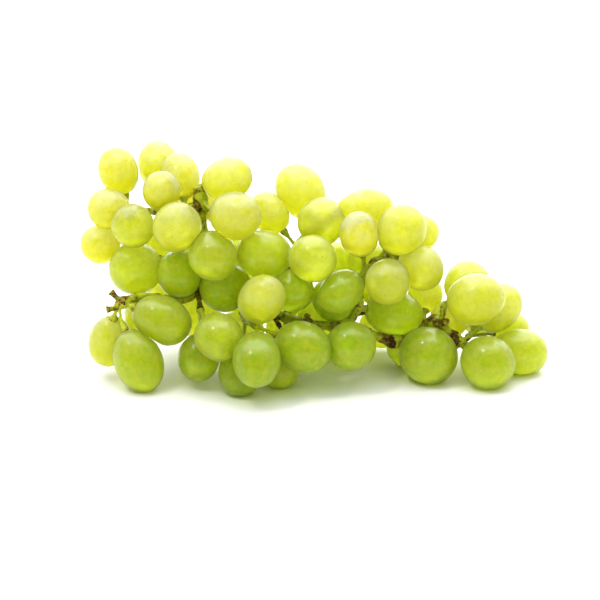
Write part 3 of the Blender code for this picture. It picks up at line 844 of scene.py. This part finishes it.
def berry_cluster(shapes, name, skin):
    """All berries of one cluster as one mesh, with what its skin needs to know at each point."""
    group = [i for i, cluster in enumerate(BUNCH.cluster) if cluster == name]
    points = wire_mesh("middles", shapes.middle[group])
    give(points, "axis", shapes.axis[group])
    size = np.stack([shapes.wide[group], shapes.wide[group], shapes.long[group]], -1)
    give(points, "size", size * MM)
    mesh = run_tree("eggs_" + name, points, egg_tree, skin, BERRY_FACES)
    on_berry = read(mesh.attributes["on_berry"].data, "vector")
    place = read(mesh.vertices, "co") / MM
    each = len(place) // len(group)
    vein = np.empty_like(place)
    berry_look = np.empty_like(place)
    tone = np.empty(len(place))
    for k, i in enumerate(group):
        part = slice(k * each, (k + 1) * each)
        local = place[part] - shapes.middle[i]
        lengthwise = (local @ shapes.axis[i])[:, None] * shapes.axis[i]
        across = local - lengthwise
        wider, along, sideways = egg_form(shapes, i, on_berry[part])
        side = unit(np.cross(shapes.axis[i], BEND_SIDE))
        shaped = (shapes.middle[i] + lengthwise + across * (1 + wider)[:, None]
                  + along[:, None] * shapes.axis[i] + sideways[:, None] * side)
        place[part] = press(shaped, shapes, i)
        x, y, z = on_berry[part].T
        ring = np.maximum(np.hypot(x, y), 1e-6)  # never 0, also at a berry's two ends
        along_vein = z * VEIN_STRETCH + VEIN_SHIFT * shapes.chance[i]
        vein[part] = np.stack([x / ring, y / ring, along_vein], -1)
        # How high on the berry each place is, for the painted highlight in the wax haze
        upward = unit(local)[:, 2]
        berry_look[part] = np.stack(np.broadcast_arrays(
            shapes.yellowness[i], upward, shapes.wax_and_painted_haze[i]), -1)
        tone[part] = shapes.tone[i]
    mesh.vertices.foreach_set("co", (place * MM).astype(np.float32).ravel())
    mesh.update()
    give(mesh, "vein", vein)
    give(mesh, "berry_look", berry_look)
    give(mesh, "tone", tone)
    return mesh


# Scars

def scar_tree(tree, given):
    """A low ragged button on every point, turned outwards."""
    ball = add(tree, "GeometryNodeMeshUVSphere", SCAR_FACES)
    ragged = roughen(tree, ball.outputs["Mesh"], given["Rags"], given["Raggedness"])
    flat = add(tree, "GeometryNodeTransform",
               {"Geometry": ragged, "Scale": (1.0, 1.0, SCAR_FLATNESS)})
    size = add(tree, "GeometryNodeInputNamedAttribute", {"Name": "radius"}, data_type="FLOAT")
    return set_on_points(tree, given, flat.outputs[0], size.outputs[0])


def flower_scars(shapes, material):
    """The dry spot at every berry's tip, where its flower was."""
    draw = np.random.default_rng(SEED + 1)
    tips = shapes.middle + shapes.axis * (shapes.long - SCAR_SINK)[:, None]
    clear = tips[:, 2] > SCAR_CLEAR_OF_TABLE
    points = wire_mesh("tips", tips[clear])
    give(points, "axis", shapes.axis[clear])
    give(points, "radius", draw.uniform(*SCAR_RADII, clear.sum()) * MM)
    rags, depth = SCAR_RAGS
    return run_tree("scars", points, scar_tree, material, {"Rags": rags, "Raggedness": depth})


# Stalk

class FineStem:
    """One stem as a smooth line: its points, its radius at each and how dry it is there."""

    def __init__(self, stem, draw):
        path, knots = spline_through(stem.points, STALK_STEP)
        self.on_face = path[:, :2]
        self.points = to_world(path)
        steps = np.linalg.norm(np.diff(self.points, axis=0), axis=1)
        self.far = np.concatenate([[0], np.cumsum(steps)])
        self.left = self.far[-1] - self.far
        if stem.berry is None:
            self.shape_limb(stem, knots, draw)
        else:
            self.shape_pedicel(draw)

    def shape_limb(self, stem, knots, draw):
        """A main or side stem or a stub: knobs all along it, and a dry flared end if it is short."""
        self.radii = np.interp(np.arange(len(self.far)), knots, stem.radii)
        if not stem.root:
            self.radii *= np.interp(self.far, *CUT_END_SLIMMER)
        self.dry = np.full(len(self.far), draw.uniform(*LIMB_DRYNESS))
        first = draw.uniform(KNOB_STRAY, KNOB_SPACING)
        for centre in np.arange(first, self.far[-1], KNOB_SPACING):
            self.swell(centre + draw.uniform(-KNOB_STRAY, KNOB_STRAY), *KNOB_SWELLING)
        short_as_a_stub = len(stem.radii) == len(STUB_RADII)
        if short_as_a_stub:
            wider, *rise = STUB_FLARE
            self.dry += STUB_DRYNESS
            self.radii += wider * smooth(*rise, self.left)

    def shape_pedicel(self, draw):
        """A berry's short stem: a foot at its fork, a slim waist, and a dry collar at the berry."""
        waist = PEDICEL_WAIST * draw.uniform(*PEDICEL_WAIST_SPREAD)
        foot, foot_reach = PEDICEL_FOOT
        self.radii = np.interp(self.left, *zip(*COLLAR))
        past_collar = self.left > COLLAR[-1][0]
        self.radii[past_collar] = np.minimum(self.radii[past_collar], waist)
        self.radii += (foot - PEDICEL_WAIST) * np.clip(1 - self.far / foot_reach, 0, 1)
        self.dry = np.full(len(self.far), draw.uniform(*PEDICEL_DRYNESS))
        self.dry += smooth(*COLLAR_DRY_REACH, self.left) * draw.uniform(*COLLAR_DRYNESS)

    def swell(self, centre, share, reach, browning):
        """Makes the stem thicker round a place along it, and browner."""
        bulge = np.exp(-((self.far - centre) / reach) ** 2)
        self.radii *= 1 + share * bulge
        self.dry += browning * bulge

    def swell_near(self, offsets, *swelling):
        """Makes the stem thicker at the point whose offset is the smallest."""
        self.swell(self.far[np.linalg.norm(offsets, axis=1).argmin()], *swelling)


def fine_stems():
    """Every stem of the stalk, with swellings where others grow from it."""
    draw = np.random.default_rng(SEED + 2)
    fine = [FineStem(stem, draw) for stem in STALK.stems]
    for stem in STALK.stems[1:]:
        parent = fine[STALK.stems.index(STALK.place[stem.root][0])]
        fork = to_world(STALK.point(stem.root, stem.back))
        parent.swell_near(parent.points - fork, *FORK_SWELLING)
    # The first burl's darker bark is painted shade
    for place, *burl in BURLS:
        fine[0].swell_near(fine[0].on_face - place, *burl)
    for stem in fine:
        stem.radii = np.minimum(stem.radii, THICKEST)
    return fine


def tube_tree(tree, given):
    """A tube along every line, as thick as its points say, with closed ends."""
    lines = add(tree, "GeometryNodeMeshToCurve", {"Mesh": given["Geometry"]})
    thickness = add(tree, "GeometryNodeInputNamedAttribute", {"Name": "thickness"},
                    data_type="FLOAT")
    ring = add(tree, "GeometryNodeCurvePrimitiveCircle",
               {"Resolution": given["Sides"], "Radius": 1.0})
    return add(tree, "GeometryNodeCurveToMesh",
               {"Curve": lines.outputs[0], "Profile Curve": ring.outputs[0],
                "Scale": thickness.outputs[0], "Fill Caps": True}).outputs[0]


def bark_tree(tree, given):
    """Raises and sinks a surface by uneven bark: coarse knobs and finer wrinkles."""
    shape = given["Geometry"]
    for relief in ("Knob", "Wrinkle"):
        scale = add(tree, "ShaderNodeMath", {0: 1.0, 1: given[relief + " Size"]},
                    operation="DIVIDE")
        shape = roughen(tree, shape, scale.outputs[0], given[relief + " Height"])
    return shape


def grown_together(tubes):
    """Tubes that cross, as one smooth skin round them all."""
    host = new_object("tubes", tubes)
    weld = host.modifiers.new("weld", "WELD")
    weld.merge_threshold = WELD_GAP * MM
    skin = host.modifiers.new("one skin", "REMESH")
    skin.mode = "VOXEL"
    skin.voxel_size = STALK_VOXEL * MM
    soften = host.modifiers.new("soften", "SMOOTH")
    soften.factor, soften.iterations = STALK_SMOOTHING
    return as_mesh(host)


def stalk_mesh(stems, bark):
    """All stems grown together in one skin, with uneven bark that knows how dry it is."""
    starts = np.cumsum([0] + [len(stem.points) for stem in stems])
    edges = [(k, k + 1) for first, last in zip(starts, starts[1:]) for k in range(first, last - 1)]
    places = np.concatenate([stem.points for stem in stems])
    lines = wire_mesh("stem_lines", places, edges)
    give(lines, "thickness", np.concatenate([stem.radii for stem in stems]) * MM)
    tubes = run_tree("tubes", lines, tube_tree, bark, {"Sides": TUBE_SIDES})
    rough = run_tree("bark", grown_together(tubes), bark_tree, bark, {
        "Knob Size": BARK_KNOBS[0] * MM, "Knob Height": BARK_KNOBS[1] * MM,
        "Wrinkle Size": BARK_WRINKLES[0] * MM, "Wrinkle Height": BARK_WRINKLES[1] * MM})
    finder = KDTree(len(places))
    for k, place in enumerate(places):
        finder.insert(place * MM, k)
    finder.balance()
    dry = np.concatenate([stem.dry for stem in stems])
    nearest = [finder.find(vertex.co)[1] for vertex in rough.vertices]
    give(rough, "dryness_and_painted_shade", dry[nearest])
    return rough


def wart_tree(tree, given):
    """Corky warts scattered over a surface, small and large."""
    spots = add(tree, "GeometryNodeDistributePointsOnFaces",
                {"Mesh": given["Geometry"], "Distance Min": given["Spacing"],
                 "Density Max": given["Crowd"], "Seed": given["Seed"]},
                distribute_method="POISSON")
    ball = add(tree, "GeometryNodeMeshUVSphere", WART_FACES)
    flat = add(tree, "GeometryNodeTransform",
               {"Geometry": ball.outputs["Mesh"], "Scale": WART_FORM})
    size = add(tree, "FunctionNodeRandomValue",
               {2: given["Smallest"], 3: given["Largest"], "Seed": given["Seed"]},
               data_type="FLOAT")
    return add(tree, "GeometryNodeInstanceOnPoints",
               {"Points": spots.outputs["Points"], "Instance": flat.outputs[0],
                "Rotation": spots.outputs["Rotation"],
                "Scale": size.outputs[1]}).outputs["Instances"]


def bark_warts(stalk, material):
    """Fine corky warts all over the stalk's bark."""
    smallest, largest = WART_RADII
    return run_tree("warts", stalk, wart_tree, material, {
        "Spacing": WART_SPACING * MM, "Crowd": WART_CROWD, "Smallest": smallest * MM,
        "Largest": largest * MM, "Seed": SEED})


# Materials

def new_material(name):
    """A material with only its Principled shader and its output."""
    material = bpy.data.materials.new(name)
    material.use_nodes = True
    tree = material.node_tree
    return material, tree, tree.nodes["Principled BSDF"]


def per_mm(size):
    """The noise scale that makes features of about this many millimetres."""
    return 1 / (size * MM)


def tint_over(tree, under, tint, value, start, full, most=1.0):
    """Lays a tint over a colour where a value goes from start to full, up to a share of most."""
    share = add(tree, "ShaderNodeMapRange",
                {"Value": value, "From Min": start, "From Max": full, "To Max": most},
                interpolation_type="SMOOTHSTEP")
    return add(tree, "ShaderNodeMix", {0: share.outputs[0], 6: under, 7: linear(tint)},
               data_type="RGBA").outputs[2]


def grape_skin():
    """White grape skin with its wax on, over clear flesh.

    It gives the eye depth: light goes far into the flesh and comes out yellower, pale veins run
    from end to end, and the wax leaves a grey-green haze and wide soft highlights. The haze's pale
    tint is partly a painted highlight, laid on thicker on each berry's upper side.
    """
    material, tree, shader = new_material("waxy_grape_skin")
    kept = {label: add(tree, "ShaderNodeAttribute", attribute_name=label).outputs
            for label in ("berry_look", "on_berry", "vein", "tone")}
    yellowness, upward, wax = add(tree, "ShaderNodeSeparateXYZ", {0: kept["berry_look"]["Vector"]}).outputs
    place = add(tree, "ShaderNodeTexCoord").outputs["Object"]
    patterns = {
        label: add(tree, "ShaderNodeTexNoise",
                   {"Vector": place, "Scale": per_mm(size), "Detail": detail,
                    "Roughness": roughness}).outputs[0]
        for label, (size, detail, roughness) in SKIN_PATTERNS.items()}
    patterns["vein"] = add(tree, "ShaderNodeTexNoise",
                           {"Vector": kept["vein"]["Vector"], "Scale": VEINS_ROUND,
                            "Distortion": VEIN_WANDER}).outputs[0]
    patterns["stem_end"] = add(tree, "ShaderNodeSeparateXYZ",
                               {0: kept["on_berry"]["Vector"]}).outputs["Z"]
    patterns["speck"] = add(tree, "ShaderNodeTexVoronoi",
                            {"Vector": place, "Scale": per_mm(SPECK_SPACING)}).outputs[0]

    # Green to yellow flesh, lighter or darker by each berry's tone: partly real colour, partly painted
    # light and shade
    flesh = add(tree, "ShaderNodeMix",
                {0: yellowness, 6: linear(GREEN_FLESH), 7: linear(YELLOW_FLESH)},
                data_type="RGBA").outputs[2]
    for label, (tint, *rise) in FLESH_TINTS.items():
        flesh = tint_over(tree, flesh, tint, patterns[label], *rise)
    grain = add(tree, "ShaderNodeMapRange",
                {"Value": patterns["grain"], "From Min": GRAIN_SPAN[0], "From Max": GRAIN_SPAN[1],
                 "To Min": FLESH_GRAIN[0], "To Max": FLESH_GRAIN[1]})
    tone = add(tree, "ShaderNodeMath", {0: kept["tone"]["Fac"], 1: grain.outputs[0]},
               operation="MULTIPLY")
    flesh = add(tree, "ShaderNodeVectorMath", {0: flesh, "Scale": tone.outputs[0]},
                operation="SCALE").outputs[0]

    # Wax haze, with a painted highlight that grows towards each berry's upper side
    wax_and_painted_haze = wax
    for value, (start, full) in ((patterns["haze"], BLOOM_HAZE), (upward, PAINTED_HAZE_RISE)):
        share = add(tree, "ShaderNodeMapRange",
                    {"Value": value, "From Min": start, "From Max": full},
                    interpolation_type="SMOOTHSTEP")
        wax_and_painted_haze = add(tree, "ShaderNodeMath", {0: share.outputs[0], 1: wax_and_painted_haze},
                    operation="MULTIPLY").outputs[0]
    share = add(tree, "ShaderNodeMath", {0: wax_and_painted_haze, 1: WAX_AND_PAINTED_HAZE_SHARE}, operation="MULTIPLY")
    colour = add(tree, "ShaderNodeMix", {0: share.outputs[0], 6: flesh, 7: linear(WAX_AND_PAINTED_HAZE_TINT)},
                 data_type="RGBA")
    rough = add(tree, "ShaderNodeMath", {0: wax_and_painted_haze, 1: SKIN_ROUGHNESS[1], 2: SKIN_ROUGHNESS[0]},
                operation="MULTIPLY_ADD")
    bump = add(tree, "ShaderNodeBump",
               {"Strength": 0.12, "Distance": 0.1 * MM, "Height": patterns["pores"]})
    set_inputs(tree, shader, {
        "Base Color": colour.outputs[2], "Roughness": rough.outputs[0],
        "Normal": bump.outputs[0], "IOR": 1.3, "Specular IOR Level": 0.2,
        "Transmission Weight": 0.45, "Subsurface Weight": 0.88,
        "Subsurface Radius": FLESH_DEPTHS, "Subsurface Scale": 1.0,
        "Coat Weight": 0.28, "Coat Roughness": 0.1, "Coat IOR": 1.5,
        "Sheen Weight": 0.04, "Sheen Roughness": 0.6, "Sheen Tint": linear(WAX_SHEEN)})
    return material


def green_bark():
    """Bark of a live grape stalk: green where it is young, brown and dull where it dries."""
    material, tree, shader = new_material("green_grape_bark")
    place = add(tree, "ShaderNodeTexCoord").outputs["Object"]
    patterns = {
        label: add(tree, "ShaderNodeTexNoise",
                   {"Vector": place, "Scale": per_mm(size), "Detail": detail,
                    "Roughness": roughness}).outputs[0]
        for label, (size, detail, roughness) in BARK_PATTERNS.items()}
    # How dry the bark is, and darkened as painted shade where the main stem lies deep in the bunch
    dry = add(tree, "ShaderNodeAttribute", attribute_name="dryness_and_painted_shade")
    spread = add(tree, "ShaderNodeMath",
                 {0: patterns["mottle"], 1: BARK_SPREAD, 2: -BARK_SPREAD / 2},
                 operation="MULTIPLY_ADD")
    age = add(tree, "ShaderNodeMath", {0: dry.outputs["Fac"], 1: spread.outputs[0]},
              operation="ADD").outputs[0]
    colour = tint_over(tree, linear(YOUNG_BARK), OLD_BARK, age, *OLD_FROM)
    colour = tint_over(tree, colour, DRY_BARK, age, *DRY_FROM)
    smooth_age, rough_age, roughness = BARK_ROUGHNESS
    rough = add(tree, "ShaderNodeMapRange",
                {"Value": age, "From Min": smooth_age, "From Max": rough_age,
                 "To Max": roughness},
                interpolation_type="SMOOTHSTEP")
    bump = add(tree, "ShaderNodeBump",
               {"Strength": 0.5, "Distance": 0.2 * MM, "Height": patterns["grain"]})
    set_inputs(tree, shader, {
        "Base Color": colour, "Roughness": rough.outputs[0], "Normal": bump.outputs[0],
        "IOR": 1.45, "Specular IOR Level": 0.3, "Subsurface Weight": 0.25,
        "Subsurface Radius": (0.0012, 0.0012, 0.0004), "Subsurface Scale": 1.0})
    return material


def cork(name, dark, pale):
    """Dry corky tissue: dull, brown and uneven in colour."""
    material, tree, shader = new_material(name)
    place = add(tree, "ShaderNodeTexCoord").outputs["Object"]
    mottle = add(tree, "ShaderNodeTexNoise",
                 {"Vector": place, "Scale": per_mm(CORK_MOTTLE), "Detail": 3.0})
    colour = tint_over(tree, linear(dark), pale, mottle.outputs[0], *CORK_RISE)
    set_inputs(tree, shader, {"Base Color": colour, "Roughness": 0.85})
    return material


def table_paint():
    """White satin paint, bright enough to vanish into the backdrop.

    Light that has gone through the berries tints the shade under them yellow-green. Here the paint
    has that tint where the bunch stands close over it.
    """
    material, tree, shader = new_material("white_satin_table")
    openness = add(tree, "ShaderNodeAmbientOcclusion", {"Distance": SHADE_REACH * MM}, samples=8)
    colour = tint_over(tree, linear(SHADE_TINT), TABLE_WHITE, openness.outputs["AO"],
                       *SHADE_OPENNESS)
    set_inputs(tree, shader, {"Base Color": colour, "Roughness": 0.55})
    return material


# Stage

def set_table():
    """A wide round table top under the bunch."""
    bm = bmesh.new()
    bmesh.ops.create_circle(bm, cap_ends=True, segments=TABLE_SIDES, radius=TABLE_RADIUS)
    mesh = bpy.data.meshes.new("table")
    bm.to_mesh(mesh)
    bm.free()
    mesh.materials.append(table_paint())
    new_object("table", mesh)


def set_surround():
    """A white room. Skins mirror its bright panel and back wall, and a dark front."""
    world = bpy.data.worlds.new("white_surround")
    world.use_nodes = True
    tree = world.node_tree
    way = add(tree, "ShaderNodeTexCoord").outputs["Generated"]
    facing = add(tree, "ShaderNodeVectorMath", {0: way, 1: PANEL_SIDE}, operation="DOT_PRODUCT")
    panel = add(tree, "ShaderNodeMapRange",
                {"Value": facing.outputs["Value"], "From Min": PANEL_EDGE[0],
                 "From Max": PANEL_EDGE[1], "To Min": PANEL[0], "To Max": PANEL[1]},
                interpolation_type="SMOOTHSTEP")
    depth = add(tree, "ShaderNodeSeparateXYZ", {0: way})
    wall = add(tree, "ShaderNodeMapRange",
               {"Value": depth.outputs["Y"], "From Min": BACK_WALL_EDGE[0],
                "From Max": BACK_WALL_EDGE[1], "To Min": BACK_WALL[0], "To Max": BACK_WALL[1]})
    mirrored = add(tree, "ShaderNodeMath", {0: panel.outputs[0], 1: wall.outputs[0]},
                   operation="MAXIMUM")
    rays = add(tree, "ShaderNodeLightPath").outputs
    brightness = SURROUND
    for ray, seen in (("Is Glossy Ray", mirrored.outputs[0]), ("Is Camera Ray", BACKDROP)):
        brightness = add(tree, "ShaderNodeMapRange",
                         {"Value": rays[ray], "To Min": brightness, "To Max": seen}).outputs[0]
    set_inputs(tree, tree.nodes["Background"],
               {"Color": (1.0, 1.0, 1.0, 1.0), "Strength": brightness})
    # Sampled as a lamp, the room would lose what only mirrors see
    world.cycles.sampling_method = "NONE"
    bpy.context.scene.world = world


def set_lights():
    """A wide soft light from above and behind, and a small lamp for the spots on the berries."""
    for name, (strength, width), side in (("soft_key", KEY_LIGHT, KEY_FROM),
                                          ("small_lamp", SPOT_LIGHT, SPOT_FROM)):
        light = bpy.data.lights.new(name, "SUN")
        light.energy = strength
        light.angle = math.radians(width)
        lamp = new_object(name, light)
        lamp.rotation_euler = Vector(side).to_track_quat("Z", "Y").to_euler()


def set_camera():
    """The camera looks square at the bunch's own face."""
    aim = Vector(to_world(np.array(AIM_ON_FACE)) * MM)
    look = Vector((0, math.cos(FACE_LEAN), -math.sin(FACE_LEAN)))
    lens = bpy.data.cameras.new("camera")
    camera = new_object("camera", lens)
    camera.location = aim - look * CAMERA_DISTANCE
    camera.rotation_euler = look.to_track_quat("-Z", "Y").to_euler()
    lens.lens = lens.sensor_width * CAMERA_DISTANCE / FIELD_WIDTH
    bpy.context.scene.camera = camera
    bpy.context.scene.view_settings.view_transform = "Standard"


# The bunch

skin = grape_skin()
bark = green_bark()
shapes = Shapes()
for name in CLUSTERS:
    finish_piece("fine_" + name, berry_cluster(shapes, name, skin),
                 ["berries_" + name])
scars = flower_scars(shapes, cork("dry_flower_scar", *SCAR_CORK))
finish_piece("flower_scars", scars)
fine_stalk = stalk_mesh(fine_stems(), bark)
warts = bark_warts(fine_stalk, cork("corky_wart", *WART_CORK))
finish_piece("fine_stalk", fine_stalk, ["stalk"])
finish_piece("stalk_warts", warts)

# The stage

set_table()
set_surround()
set_lights()
set_camera()
